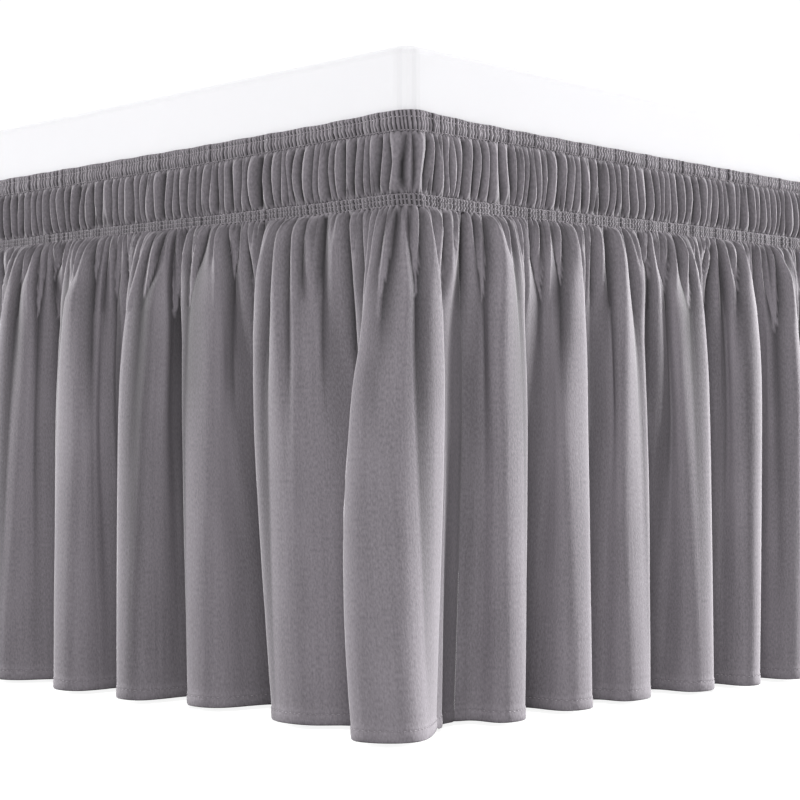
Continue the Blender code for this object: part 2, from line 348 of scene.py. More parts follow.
def filled(start, end, chance):
    """Uneven folds between two valleys, about one to each usual spacing."""
    count = max(1, round((end - start) / FOLD_PITCH))
    turns = []
    for place in np.linspace(start, end, 2 * count + 1)[1:-1]:
        is_crest = len(turns) % 2 == 0
        out = chance.uniform(*(CREST_RANGE if is_crest else VALLEY_RANGE))
        hem_at = place + chance.uniform(-FOLD_UNEVENNESS, FOLD_UNEVENNESS)
        head_at = place + chance.uniform(-FOLD_UNEVENNESS, FOLD_UNEVENNESS)
        turns.append(Turn(head_at, hem_at, out))
    return turns


def width_turns():
    """The turns of each of the ruffle's four widths, seam to seam, in millimetres."""
    chance = np.random.default_rng(FOLD_SEED)
    near_right, far_right, far_left, near_left, again = CORNERS / MM
    right = shifted(CORNER_TURNS[-1:], near_right) + SIDE_TURNS
    right += filled(right[-1].hem_at, far_right - SEAM_FROM_CORNER, chance)
    right += shifted(CORNER_TURNS[-1:], far_right, mirrored=True)
    head = shifted(CORNER_TURNS, far_right, mirrored=True)
    head += filled(head[-1].hem_at, far_left + CORNER_TURNS[0].hem_at, chance)
    head += shifted(CORNER_TURNS, far_left)
    left = shifted(CORNER_TURNS[-1:], far_left)
    left += filled(left[-1].hem_at, near_left - SEAM_FROM_CORNER, chance)
    left += shifted(CORNER_TURNS[-1:], near_left, mirrored=True)
    foot = shifted(CORNER_TURNS, near_left, mirrored=True)
    shown_foot = shifted(FOOT_TURNS, again)
    foot += filled(foot[-1].hem_at, shown_foot[0].hem_at, chance)
    foot += shown_foot + shifted(CORNER_TURNS, again)
    return {
        "ruffle_side_right": right,
        "ruffle_head": head,
        "ruffle_side_left": left,
        "ruffle_foot": foot,
    }


# %% The folded sheet
CREST_LEVELS = ((0.0, 0.06, 0.16, 0.42, 1.0), (0.14, 0.36, 0.56, 0.80, 1.0))
VALLEY_START = 0.40
VALLEY_POWER = 1.25
# The fold on the corner itself leans on the corner at first, and comes out later than the rest
LATE_FROM = 50.0
LATE_POWER = 2.2
# How steep the flanks are at the heading, and the drop that would take them from flat to steep
STEEP_AT_HEAD = 0.15
STEEP_WITHIN = 0.4
STEPS_PER_TURN = 60


def crest_share(down):
    """How far the crests have come out at a share of the drop: the solid's levels, averaged over
    a stretch that grows with the depth, so that no level shows as a crease."""
    stretch = 1 + np.linspace(-0.3, 0.3, 7)
    return np.interp(down[:, None] * stretch, *CREST_LEVELS).mean(axis=1)


def valley_share(down):
    """How far the valleys have gone in: nothing beside the base, then a rising power curve."""
    return np.clip((down - VALLEY_START) / (1 - VALLEY_START), 0, 1) ** VALLEY_POWER


def eased(part):
    """A smooth step from 0 to 1: three times the square less twice the cube."""
    part = np.clip(part, 0, 1)
    return (3 - 2 * part) * part**2


def folded_sheet(turns, down, place):
    """Distance along the base and out from it, for rows `down` and columns `place`.

    A column's place counts turns: 2.5 is halfway from the third turn to the fourth. Between two
    turns the cloth follows a Bezier curve whose ends run along the bed, evenly spaced at the
    heading and pulled into steep flanks further down.
    """
    head_at, hem_at, hem_out, breadth = np.array(turns).T
    interval = np.clip(place.astype(int), 0, len(turns) - 2)
    part = place - interval
    at = head_at + (hem_at - head_at) * down[:, None]
    late = np.where(hem_out > LATE_FROM, LATE_POWER, 1.0)
    coming = crest_share(down)[:, None] ** late
    share = np.where(hem_out > HEAD_OUT, coming, valley_share(down)[:, None])
    out = HEAD_OUT + (hem_out - HEAD_OUT) * share
    start, end = at[:, interval], at[:, interval + 1]
    even = (end - start) / 3
    steep = eased(STEEP_AT_HEAD + down / STEEP_WITHIN)[:, None]
    lead = even + (np.minimum(breadth[interval], 3 * LEAD_SHARE * even) - even) * steep
    follow = even + (np.minimum(breadth[interval + 1], 3 * LEAD_SHARE * even) - even) * steep
    along = (
        (1 - part) ** 3 * start
        + 3 * (1 - part) ** 2 * part * (start + lead)
        + 3 * (1 - part) * part**2 * (end - follow)
        + part**3 * end
    )
    stand = out[:, interval] + (out[:, interval + 1] - out[:, interval]) * eased(part)
    return along * MM, stand * MM


def cloth_columns(turns, spacing):
    """Evenly spaced columns of cloth: their distance along the hem and their place in turns."""
    fine = np.linspace(0, len(turns) - 1, STEPS_PER_TURN * (len(turns) - 1) + 1)
    x, y = beside_base(*folded_sheet(turns, np.array([1.0]), fine))
    length = np.append(0, np.cumsum(np.hypot(np.diff(x[0]), np.diff(y[0]))))
    columns = 2 * round(length[-1] / spacing / 2) + 1
    cloth = np.linspace(0, length[-1], columns)
    return cloth, np.interp(cloth, length, fine)


# %% [markdown]
# ## Gathers
#
# Where the ruffle is drawn up it stands in small round ridges with sharp creases between them,
# eight to ten millimetres apart. Further down most ridges thin out and end, so two creases run
# together into one like a Y, and the few that go on keep their place and sink into the cloth
# halfway down the drop. The creases are therefore the thing to model: between one lasting ridge
# and the next their places are the running totals of the ridges' widths, and each short
# ridge's width shrinks to nothing at its own depth.

# %% The gathers of the shown corner
LASTING = 4.0
# Each ridge beside the shown corner, from left to right: the crease where it begins, in
# millimetres along the base from the corner, and its life, the share of the drop at which it ends.
SHOWN_GATHERS = (
    (-210, LASTING), (-197, 0.12), (-190, 0.20), (-182, 0.65), (-161, 0.12), (-150, 0.45),
    (-143, 0.18), (-127.5, LASTING), (-104, 0.55), (-93, 0.75), (-83, 0.30), (-67, 0.55),
    (-46, LASTING), (-33, 0.20), (-26, 0.50), (-18.5, 0.50), (-10, 0.24), (-5, 0.40),
    (1, 0.18), (6, LASTING), (14, 0.22), (26, 0.34), (45, 0.42), (53, 0.20), (62, 0.80),
    (77, 0.12), (84, LASTING), (99, 0.45), (109, 0.17), (120, 0.62), (130, 0.15), (139, 0.45),
    (154, LASTING), (166, 0.30), (172, 0.33), (188, 0.80), (208, LASTING), (228, 0.10),
)
SHOWN_BEGINS, SHOWN_LIFE = np.array(SHOWN_GATHERS).T
SHOWN_FROM = -210.5
SHOWN_TO = 238.5
print(f"{len(SHOWN_GATHERS)} gathers are placed one by one")

# %% Where the gathers run
GATHER_PITCH = 8.0
GATHER_UNEVENNESS = (0.6, 1.4)
SHORT_LIVES = (0.08, 0.24)
SHORT_LIFE = 0.26
HALFWAY_LIVES = (0.35, 0.9)
HALFWAY_STEPS = (1, 2, 2, 3)


def drawn_gathers(low_at, high_at, chance):
    """Where the gathers of one main fold begin, and their lives, drawn by chance.

    One or two ridges last to the hem, a few go halfway, and the rest end near the heading.
    """
    count = max(3, round((high_at - low_at) / GATHER_PITCH))
    width = chance.uniform(*GATHER_UNEVENNESS, count)
    begins = low_at + (high_at - low_at) * np.append(0, np.cumsum(width)[:-1]) / width.sum()
    life = np.exp(chance.uniform(*np.log(SHORT_LIVES), count))
    halfway = np.cumsum(chance.choice(HALFWAY_STEPS, count)) - 1
    halfway = halfway[halfway < count]
    life[halfway] = chance.uniform(*HALFWAY_LIVES, len(halfway))
    life[halfway[:: max(1, len(halfway) // 2)]] = LASTING
    return begins, life


def width_gathers(turns, chance):
    """Every gather of one width: the places of its creases at the heading, and the lives."""
    out = np.array([turn.out for turn in turns])
    head_at = np.array([turn.head_at for turn in turns])
    once_round = PERIMETER / MM
    near = head_at - once_round * round(head_at.mean() / once_round)
    is_low = (out[1:-1] <= out[:-2]) & (out[1:-1] <= out[2:])
    lows = [0, *(np.flatnonzero(is_low) + 1), len(turns) - 1]
    begins = []
    lives = []
    for low, high in zip(lows[:-1], lows[1:]):
        begin, life = drawn_gathers(near[low], near[high], chance)
        if SHOWN_FROM < near[low] and near[high] < SHOWN_TO:
            own = (SHOWN_BEGINS > near[low] - 0.5) & (SHOWN_BEGINS < near[high] - 0.5)
            begin, life = SHOWN_BEGINS[own], SHOWN_LIFE[own]
        begins.append(begin)
        lives.append(life)
    edges = np.append(np.concatenate(begins), near[-1])
    return np.interp(edges, near, np.arange(len(near))), np.concatenate(lives)


def gather_creases(edges, life, down):
    """Places of the creases between gathers, in turns, for each row.

    A ridge that goes further than SHORT_LIFE keeps its middle where it is. The cloth from one
    such middle to the next is shared by the widths of what lies between, and a short ridge's
    width eases to nothing at its own depth.
    """
    width = np.diff(edges)
    kept = np.flatnonzero(life > SHORT_LIFE)
    creases = np.tile(edges, (len(down), 1))
    for left, right in zip(kept[:-1], kept[1:]):
        first = edges[left] + width[left] / 2
        last = edges[right] + width[right] / 2
        share = width[left:right] * (1 - eased(down[:, None] / life[left:right]))
        share[:, 0] = width[left] / 2
        total = np.cumsum(share, axis=1)
        room = total[:, -1:] + width[right] / 2
        creases[:, left + 1 : right + 1] = first + (last - first) * total / room
    return creases


# %% The gathers' ridges
CREST_PLACES = (0.36, 0.64)
GATHER_ARCHES = (1.2, 1.9)
NOTCH_PLACES = ((0.25, 0.45), (0.55, 0.75))
NOTCH_REACH = (0.03, 0.16)
NOTCH_DEPTHS = (0.2, 0.8)
NOTCH_WIDTH = 0.08


def ridge_profile(part, crest_at, arch):
    """Height of a ridge at a part of its width: 0 at its creases and 1 at its crest.

    It is 1 less the distance from the crest raised to a power: nearer to 1 it is a tent, nearer
    to 2 an arch. The crest is moved off the middle by raising the part to a power first.
    """
    return 1 - np.abs(2 * part ** (np.log(0.5) / np.log(crest_at)) - 1) ** arch


def ridges(place, creases, down, chance):
    """The ridges' profile at every point of the cloth, and which ridge the point is on.

    Two notches split each ridge where it is pinched at the top, and each fades at its own depth.
    """
    count = creases.shape[1] - 1
    phase = np.array([np.interp(place, row, np.arange(count + 1)) for row in creases])
    which = np.clip(phase.astype(int), 0, count - 1)
    part = phase - which
    crest_at = chance.uniform(*CREST_PLACES, count)[which]
    arch = chance.uniform(*GATHER_ARCHES, count)[which]
    profile = ridge_profile(part, crest_at, arch)
    for notch_place in NOTCH_PLACES:
        notch_at = chance.uniform(*notch_place, count)[which]
        reach = np.exp(chance.uniform(*np.log(NOTCH_REACH), count))[which]
        depth = chance.uniform(*NOTCH_DEPTHS, count)[which] * (1 - eased(down / reach))
        profile = profile * (1 - depth * np.exp(-(((part - notch_at) / NOTCH_WIDTH) ** 2)))
    return profile, which


# %% [markdown]
# ## The ruffle
#
# Each width of the ruffle is one sheet. Its rows lie close together under the heading, where the
# gathers are fine, and further apart below; its lower rows also have half the columns. At the
# foot the cloth turns in and up again: that is the hem, with its row of stitching.

# %% Rows of the ruffle
COLUMN_SPACING = 0.0018
FINE_DROPS = (
    -1.6, 0.0, 0.9, 1.9, 3.0, 4.3, 5.8, 7.6, 9.7, 12.2, 15.0, 18.2, 21.8, 25.8, 30.0, 34.4, 39.0,
    43.8, 48.8, 54.0,
)
# The hem's rows, each as a height above the foot of the cloth and a distance out; its stitching
# sinks into the fourth
HEM_ROWS = (
    (12.0, 0.0), (8.4, 0.0), (7.5, 0.45), (6.8, 0.12), (6.0, 0.5), (3.2, 0.6), (0.8, 0.45),
    (0.0, 0.0), (0.8, -0.4), (7.0, -0.35),
)
HEM_STITCH_ROW = 3
DROP = 321.0
COARSE_ROWS = 38
COARSE_POWER = 1.15
hem_heights, hem_outs = np.array(HEM_ROWS).T
coarse_share = np.linspace(0, 1, COARSE_ROWS + 2)[1:-1] ** COARSE_POWER
coarse_drops = FINE_DROPS[-1] + (DROP - hem_heights[0] - FINE_DROPS[-1]) * coarse_share
ROW_DROPS = np.concatenate([FINE_DROPS, coarse_drops, DROP - hem_heights])
ROW_DOWN = ROW_DROPS / DROP
ROW_OUT = np.zeros(len(ROW_DROPS))
ROW_OUT[-len(HEM_ROWS) :] = MM * hem_outs
FINE_ROWS = len(FINE_DROPS)
STITCH_ROW = len(ROW_DROPS) - len(HEM_ROWS) + HEM_STITCH_ROW
print(f"{len(ROW_DROPS)} rows, {FINE_ROWS} of them with all columns")

# %% Height of the gathers
# How tall the ridges stand for their width, down the drop; a wide one counts as no wider than
# a limit in metres that grows with the drop
GATHER_SLACK = (
    (0.0, 0.06, 0.12, 0.20, 0.35, 0.55, 0.80, 1.0),
    (0.72, 0.68, 0.56, 0.45, 0.34, 0.22, 0.11, 0.05),
)
WIDEST_AT_TOP = 0.011
WIDER_AT_HEM = 0.060


def ridge_heights(creases, life, place, speed):
    """Height of each ridge in each row, and the same height eased from ridge to ridge.

    A ridge's width in metres is its width in turns times the cloth's metres to a turn (`speed`).
    """
    middles = (creases[:, 1:] + creases[:, :-1]) / 2
    stretch = np.array([np.interp(row, place, each) for row, each in zip(middles, speed)])
    down = ROW_DOWN[:, None]
    broad = np.minimum(np.diff(creases, axis=1) * stretch, WIDEST_AT_TOP + WIDER_AT_HEM * down)
    ending = np.where(life < LASTING, 1 - eased(down / life), 1.0)
    ridge_tall = broad * ending * np.interp(down, *GATHER_SLACK)
    middle = np.array([np.interp(place, row, each) for row, each in zip(middles, ridge_tall)])
    return ridge_tall, middle


# %% Shade of the creases and valleys
CREASE_SHADE = ((0.0, 0.1, 0.3, 0.6, 1.0), (0.95, 0.90, 0.75, 0.5, 0.25))
CREASE_POWER = 1.2
SHADED_HEIGHT = 0.005
VALLEY_SHADE = 0.33
VALLEY_SHADE_WITHIN = 0.3
USUAL_CREST = 28.0
USUAL_VALLEY = -16.0


def fold_shade(profile, tall, stand):
    """Painted shade on the cloth, 0 to 1: low on a tall ridge, or back in a main valley.

    A main valley's share is the square of how far it lies behind the usual crest on the way to
    the usual valley.
    """
    down = ROW_DOWN[:, None]
    crease = (1 - profile) ** CREASE_POWER * np.clip(tall / SHADED_HEIGHT, 0, 1)
    crest = HEAD_OUT + (USUAL_CREST - HEAD_OUT) * crest_share(ROW_DOWN)[:, None]
    valley = HEAD_OUT + (USUAL_VALLEY - HEAD_OUT) * valley_share(down)
    sunk = np.clip((crest - stand / MM) / (crest - valley), 0, 1)
    sunk_shade = VALLEY_SHADE * sunk**2 * eased(down / VALLEY_SHADE_WITHIN)
    return np.maximum(crease * np.interp(down, *CREASE_SHADE), sunk_shade)


# %% Shape one width of the ruffle
# The ruffle's top edge is tucked behind the shirring, and the cloth stands free soon below it.
# Drops are in millimetres like the rows', all else in metres.
EDGE_OUT = 0.0012
SEAM_OUT = 0.0022
FREE_DROP = 3.0
# The finest pinches under the shirring fade down the drop, with painted shade in their troughs
PINCH_DROP = 9.0
PINCH_PITCH = 0.0037
PINCH_HEIGHT = 0.0017
PINCH_SHADE = 0.8
UNEVEN_WAVES = 190
# The cloth turns in where two widths are seamed
SEAM_DEPTH = 0.002
SEAM_REACH = 0.005
BASE_UNDERSIDE = 0.192
BASE_CLEARANCE = 0.0008


def ruffle_points(turns, cloth, place, seed):
    """Points of one width, rows by columns, as x, y and z arrays, and the shade painted on each.

    The folded sheet first, then the gathers' ridges laid on it along its own normal, which is
    the direction across the cloth in plan.
    """
    chance = np.random.default_rng(seed)
    along, stand = folded_sheet(turns, ROW_DOWN, place)
    free = 1 - np.exp(-np.maximum(ROW_DROPS, 0) / FREE_DROP)[:, None]
    stand = SEAM_OUT + (stand - SEAM_OUT) * free
    stand[0] = EDGE_OUT
    x, y = beside_base(along, stand)
    across_x = np.gradient(x, place, axis=1)
    across_y = np.gradient(y, place, axis=1)
    speed = np.hypot(across_x, across_y)
    edges, life = width_gathers(turns, chance)
    creases = gather_creases(edges, life, ROW_DOWN)
    profile, which = ridges(place, creases, ROW_DOWN[:, None], chance)
    ridge_tall, middle = ridge_heights(creases, life, place, speed)
    tall = np.take_along_axis(ridge_tall, which, 1) * free
    lift = tall * profile - 0.5 * middle * free + ROW_OUT[:, None]
    pinch = np.exp(-np.abs(ROW_DROPS) / PINCH_DROP)[:, None]
    uneven = 2 * np.sin(along * UNEVEN_WAVES)
    wave = 0.5 + 0.5 * np.sin(2 * np.pi * along / PINCH_PITCH + uneven)
    lift += PINCH_HEIGHT * wave * pinch
    hollow = np.maximum(fold_shade(profile, tall, stand), PINCH_SHADE * (1 - wave) * pinch)
    from_end = np.minimum(cloth, cloth[-1] - cloth)
    lift -= SEAM_DEPTH * np.clip(1 - from_end / SEAM_REACH, 0, 1) ** 2
    x = x + across_y / speed * lift
    y = y - across_x / speed * lift
    top = heading_bottom(along)
    z = top + (HEM_HEIGHT - top) * ROW_DOWN[:, None]
    beside = eased((z - BASE_UNDERSIDE) / 0.01)
    clear_x, clear_y = clear_of_base(x, y, BASE_CLEARANCE)
    x = x + (clear_x - x) * beside
    y = y + (clear_y - y) * beside
    return x, y, z, hollow


# %% Join the fine rows to the coarse ones


def ruffle_faces(fine_rows, rows, columns):
    """Quads of the fine rows, five-sided faces where the columns halve, quads of the rest."""
    half = columns // 2 + 1
    fine = grid_faces(fine_rows, columns)
    last = (fine_rows - 1) * columns
    below = fine_rows * columns
    step = np.arange(half - 1)
    upper = last + 2 * step
    joint = np.column_stack([upper, below + step, below + step + 1, upper + 2, upper + 1])
    coarse = grid_faces(rows - fine_rows, half, first=below)
    return [fine, joint, coarse]


def kept_points(values):
    """All columns of the fine rows and every second column of the rest, in one list."""
    return np.concatenate([values[:FINE_ROWS].ravel(), values[FINE_ROWS:, ::2].ravel()])


# %% Make the four widths
hem_lines = {}
for seed, (name, turns) in enumerate(width_turns().items(), start=11):
    cloth, place = cloth_columns(turns, COLUMN_SPACING)
    x, y, z, hollow = ruffle_points(turns, cloth, place, seed)
    faces = ruffle_faces(FINE_ROWS, len(ROW_DROPS), len(cloth))
    points = np.column_stack([kept_points(values) for values in (x, y, z)])
    cloth_u = kept_points(np.broadcast_to(cloth, x.shape))
    cloth_v = kept_points(np.broadcast_to(-MM * ROW_DROPS[:, None], x.shape))
    corners = np.concatenate([block.ravel() for block in faces])
    corner_uv = np.column_stack([cloth_u, cloth_v])[corners]
    # The painted shade of the kept points
    depth = kept_points(hollow)
    piece = new_piece(name + "_cloth", points, faces, corner_uv, MICROFIBRE, depth)
    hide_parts(name)
    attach(piece, "root")
    hem_lines[name] = (cloth, x[STITCH_ROW], y[STITCH_ROW], z[STITCH_ROW])
    print(f"{name}: {cloth[-1]:.2f} m of hem")

# %% [markdown]
# ## The heading
#
# The heading is one strip drawn up on two elastics. The top elastic runs in a narrow casing held
# by two rows of stitching, the lower one shirrs the strip where the ruffle is sewn on, and the
# cloth between them stands up in puffs. It is made as three rings that share their seams.

# %% How the heading is divided
# Distance from the shown corner, and the casing's and the shirring's shares of the height there
DIVISIONS = (
    (-1.0, 0.215, 0.135), (-0.444, 0.232, 0.118), (-0.200, 0.250, 0.122), (-0.069, 0.213, 0.133),
    (0.0, 0.217, 0.138), (0.116, 0.180, 0.128), (0.235, 0.205, 0.140), (0.440, 0.175, 0.165),
    (1.0, 0.215, 0.135),
)


def heading_line(along, share):
    """Height of a line that lies `share` of the heading's height below its top."""
    return HEADING_TOP - (HEADING_TOP - heading_bottom(along)) * share


def heading_divisions(along):
    """Shares of the heading's height at which the casing ends and the shirring begins."""
    at, casing, shirring = np.array(DIVISIONS).T
    near = from_shown_corner(along)
    return np.interp(near, at, casing), 1 - np.interp(near, at, shirring)


# %% Rings of cloth
Row = namedtuple("Row", "along height out hollow")


def ring_piece(name, rows, finish):
    """A closed ring from rows of arrays; its first and last columns are one.

    The faces wrap round to the first column, while the UV place goes on to the full length.
    """
    along, height, out, hollow = (np.array(values) for values in zip(*rows))
    columns = along.shape[1]
    x, y = beside_base(along, out)
    points = np.column_stack([x.ravel(), y.ravel(), height.ravel()])
    quads = grid_faces(len(rows), columns + 1)
    row, column = np.divmod(quads, columns + 1)
    step = np.hypot(np.diff(height, axis=0), np.diff(out, axis=0)).mean(axis=1)
    down = np.append(0, np.cumsum(step))
    walk = np.append(along, along[:, :1] + PERIMETER, axis=1)
    corner_uv = np.column_stack([walk.ravel()[quads.ravel()], -down[row.ravel()]])
    faces = row * columns + column % columns
    return new_piece(name, points, [faces], corner_uv, finish, hollow.ravel())


# %% [markdown]
# ### Fine ribs over the elastic
#
# Where a strip of cloth is sewn to a stretched elastic and let go, it draws up into ribs about
# three millimetres apart, pressed flat under each row of stitching.

# %% Ribs of the casing and the shirring
# The ribs' usual width in millimetres at distances from the shown corner
RIB_WIDTHS = ((-1.2, -0.12, -0.03, 0.03, 1.2), (2.9, 2.9, 3.4, 2.8, 2.9))
RIB_COLUMNS = 3
# Each row's share of the way down the zone, its distance out and its ribs' height in millimetres
Relief = namedtuple("Relief", "down out tall")
CASING_ROWS = [Relief(*values) for values in (
    (0.98, 0.5, 0.0), (0.12, 0.5, 0.0), (0.00, 1.2, 0.3), (0.035, 2.5, 1.0), (0.17, 3.2, 1.7),
    (0.33, 2.5, 1.0), (0.62, 3.3, 1.8), (0.95, 2.5, 1.0), (1.04, 1.5, 0.3),
)]
SHIRRING_ROWS = [Relief(*values) for values in (
    (-0.08, 1.4, 0.3), (0.06, 2.7, 0.9), (0.27, 3.5, 1.7), (0.48, 2.8, 1.0), (0.71, 3.5, 1.7),
    (0.92, 2.8, 0.9), (1.0, 2.9, 1.2), (1.02, 1.4, 0.3),
)]
CASING_STITCH_ROWS = (5, 7)
SHIRRING_STITCH_ROWS = (1, 3, 5)
RIB_PROFILE = np.array([0.0, 0.95, 0.95])
RIB_UNEVENNESS = 0.28
RIB_HEIGHTS = (0.55, 1.25)
RIB_WANDER = 0.25
# The ribs lean beside the corner: how much, and where that is and how far it reaches, in metres
RIB_LEAN = 0.20
LEAN_AT = -0.05
LEAN_REACH = 0.06
# The elastic's edge isn't quite level: distance from the shown corner, and rise in millimetres
TOP_RISE = (
    (-1.0, -0.444, -0.2, -0.069, -0.01, 0.012, 0.05, 0.116, 0.19, 0.44, 1.0),
    (-0.3, 0.7, -0.5, -0.3, 0.7, 0.7, -0.8, -1.3, -1.2, -0.7, -0.3),
)
COUNTING_OUT = 0.004
COUNTING_STEPS = 12000
LEAST_SHIRRING_SHADE = 0.24


def uneven_places(usual_widths, unevenness, chance):
    """Places once round the base, about a usual width apart, the last one back at the first.

    The usual widths are counted along a line a little off the base, which is longer round the
    corners, and each place's share of the count is then drawn unevenly.
    """
    walk = np.linspace(WALKED[0], WALKED[-1], COUNTING_STEPS + 1)
    outer = walk + COUNTING_OUT * np.interp(walk, WALKED, FACING)
    usual = MM * np.interp(from_shown_corner(walk), *usual_widths)
    counted = np.append(0, np.cumsum(np.diff(outer) / usual[1:]))
    share = chance.uniform(1 - unevenness, 1 + unevenness, round(counted[-1]))
    total = np.append(0, np.cumsum(share)) / share.sum() * counted[-1]
    return np.interp(total, counted, walk)


def rib_columns(chance):
    """Places of the columns round the base: a few to each rib."""
    starts = uneven_places(RIB_WIDTHS, RIB_UNEVENNESS, chance)
    step = np.arange(RIB_COLUMNS) / RIB_COLUMNS
    return (starts[:-1, None] + np.diff(starts)[:, None] * step).ravel()


def ribbed_rows(along, table, top, bottom, chance):
    """Rows whose distance out is the table's, plus the ribs' profile times their height, and
    the shade painted between the ribs.

    Left of the shown corner the ribs lean: each row is moved along by a share of its depth.
    """
    ribs = len(along) // RIB_COLUMNS
    tall = np.repeat(chance.uniform(*RIB_HEIGHTS, ribs), RIB_COLUMNS)
    wander = np.repeat(chance.uniform(-RIB_WANDER, RIB_WANDER, ribs), RIB_COLUMNS)
    profile = np.tile(RIB_PROFILE, ribs)
    lean = RIB_LEAN * np.exp(-(((from_shown_corner(along) - LEAN_AT) / LEAN_REACH) ** 2))
    rows = []
    for row in table:
        height = top + (bottom - top) * row.down
        out = row.out + row.tall * (profile * tall - 0.5) + wander * row.tall
        hollow = 1.3 * np.clip(0.8 - profile, 0, 1) * min(1.0, 0.5 + 0.5 * row.tall)
        rows.append(Row(along + lean * (top - height), height, MM * out, hollow))
    return rows


rib_chance = np.random.default_rng(23)
rib_along = rib_columns(rib_chance)
casing_end, shirring_start = heading_divisions(rib_along)
casing_end_z = heading_line(rib_along, casing_end)
shirring_start_z = heading_line(rib_along, shirring_start)
near = from_shown_corner(rib_along)
uneven_edge = 0.2 * MM * np.sin(near * UNEVEN_WAVES)
heading_top_z = HEADING_TOP + MM * np.interp(near, *TOP_RISE) + uneven_edge
casing_rows = ribbed_rows(rib_along, CASING_ROWS, heading_top_z, casing_end_z, rib_chance)
shirring_rows = ribbed_rows(
    rib_along, SHIRRING_ROWS, shirring_start_z, heading_bottom(rib_along), rib_chance
)
# The shirring is drawn up tightest, so less light reaches its ribs than the casing's
shirring_rows = [
    row._replace(hollow=np.maximum(row.hollow, LEAST_SHIRRING_SHADE)) for row in shirring_rows
]
casing = ring_piece("heading_casing", casing_rows, ELASTIC_CLOTH_PAINTED_LIGHTER)
shirring = ring_piece("heading_shirring", shirring_rows, ELASTIC_CLOTH_PAINTED_LIGHTER)

# %% [markdown]
# ### The puffed band
#
# Between the elastics the cloth is free, so the fine ribs run together three by three into
# puffs. Each crease wanders a little on its way down, some puffs fork at one end, and no two
# are the same width.

# %% Shape the puffs
# The puffs' usual width in millimetres at distances from the shown corner
PUFF_WIDTHS = (
    (-1.2, -0.45, -0.02, 0.02, 0.45, 1.2),
    (9.0, 9.4, 8.8, 8.0, 8.0, 9.0),
)
PUFF_UNEVENNESS = 0.4
PUFF_ARCHES = (1.15, 1.8)
# How far a crease sways, in metres, and how many puffs fork, where, how deep and how far
CREASE_BENDS = (0.0005, 0.0019)
FORKED_SHARE = 0.36
FORKED_AT_FOOT_SHARE = 0.62
FORK_DEPTHS = (0.6, 1.0)
FORK_REACHES = (0.25, 0.6)
FORK_WIDTH = 0.13
USUAL_PUFF = 0.009
DEEP_SHADE_HEIGHT = 3.5
PUFF_COLUMNS = 12
PUFF_ROWS = [Relief(*values) for values in (
    (0.00, 2.0, 0.6), (0.03, 2.8, 1.6), (0.08, 3.4, 3.1), (0.15, 3.9, 4.2), (0.28, 4.2, 4.9),
    (0.50, 4.3, 5.2), (0.72, 4.2, 4.9), (0.85, 3.9, 4.2), (0.92, 3.4, 3.1), (0.97, 2.8, 1.6),
    (1.00, 2.4, 0.8),
)]


def puff_creases(down, chance):
    """Places of the creases between puffs for each row, once round and back to the first.

    Each crease sways along part of a wave on its way down.
    """
    edge = uneven_places(PUFF_WIDTHS, PUFF_UNEVENNESS, chance)
    phase = chance.uniform(0, 2 * np.pi, len(edge) - 1)
    bend = chance.uniform(*CREASE_BENDS, len(edge) - 1)
    sway = bend * np.sin(1.5 * np.pi * down[:, None] + phase)
    return edge + np.append(sway, sway[:, :1], axis=1)


def puff_forks(down, count, chance):
    """How deep the crest of each puff is notched in each row: a third fork towards one end."""
    depth = np.where(chance.random(count) < FORKED_SHARE, chance.uniform(*FORK_DEPTHS, count), 0.0)
    at_foot = chance.random(count) < FORKED_AT_FOOT_SHARE
    reach = chance.uniform(*FORK_REACHES, count)
    from_end = np.where(at_foot, 1 - down[:, None], down[:, None])
    return depth * (1 - eased(from_end / reach))


def puffed_rows(chance):
    """Rows of the puffed band: a bulge, the puffs' profile on it, fine ribs at its ends, and shade
    painted in the creases and between the ribs.
    """
    down = np.array([row.down for row in PUFF_ROWS])
    creases = puff_creases(down, chance)
    count = creases.shape[1] - 1
    part = np.arange(PUFF_COLUMNS) / PUFF_COLUMNS
    crest_at = chance.uniform(*CREST_PLACES, (count, 1))
    crest = ridge_profile(part, crest_at, chance.uniform(*PUFF_ARCHES, (count, 1)))
    middle = np.exp(-(((part - 0.5) / FORK_WIDTH) ** 2))
    fork = puff_forks(down, count, chance)[:, :, None] * middle
    width = np.diff(creases, axis=1)[:, :, None]
    profile = (crest * (1 - fork)).reshape(len(down), -1)
    size = np.repeat(np.minimum(width / USUAL_PUFF, 1.15) ** 0.7, PUFF_COLUMNS, axis=2)
    size = size.reshape(len(down), -1)
    along = (creases[:, :-1, None] + width * part).reshape(len(down), -1)
    rib = np.tile(1 - np.abs(2 * (3 * part % 1) - 1) ** 1.3, count)
    rows = []
    for index, row in enumerate(PUFF_ROWS):
        begin, end = heading_divisions(along[index])
        top = heading_line(along[index], begin)
        height = top + (heading_line(along[index], end) - top) * row.down
        pinch = np.exp(-min(row.down, 1 - row.down) / 0.05)
        tall = row.tall * size[index]
        out = row.out + tall * (profile[index] - 0.5) + 0.9 * pinch * (rib - 0.5)
        hollow = (1 - profile[index]) ** 1.05 * np.minimum(tall / DEEP_SHADE_HEIGHT, 1)
        hollow = np.maximum(hollow, pinch * (1 - rib))
        rows.append(Row(along[index], height, MM * np.maximum(out, 0.9), hollow))
    return rows


puff_rows = puffed_rows(np.random.default_rng(31))
puffs = ring_piece("heading_puffs", puff_rows, MICROFIBRE)

for piece, cut in ((casing, 0.028), (puffs, 0.042), (shirring, 0.010)):
    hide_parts("heading")
    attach(piece, "root")

# %% [markdown]
# ## Stitching
#
# Each row of stitching shows as short bright lengths of thread between the ribs, and along the
# hem as a dashed line. A stitch is a tiny double pyramid: eight triangles are enough for
# something two millimetres long, and there are thousands.

# %% Make rows of stitches
STITCH_FACES = np.array([
    [0, 2, 4], [2, 1, 4], [1, 3, 4], [3, 0, 4], [2, 0, 5], [1, 2, 5], [3, 1, 5], [0, 3, 5]
])


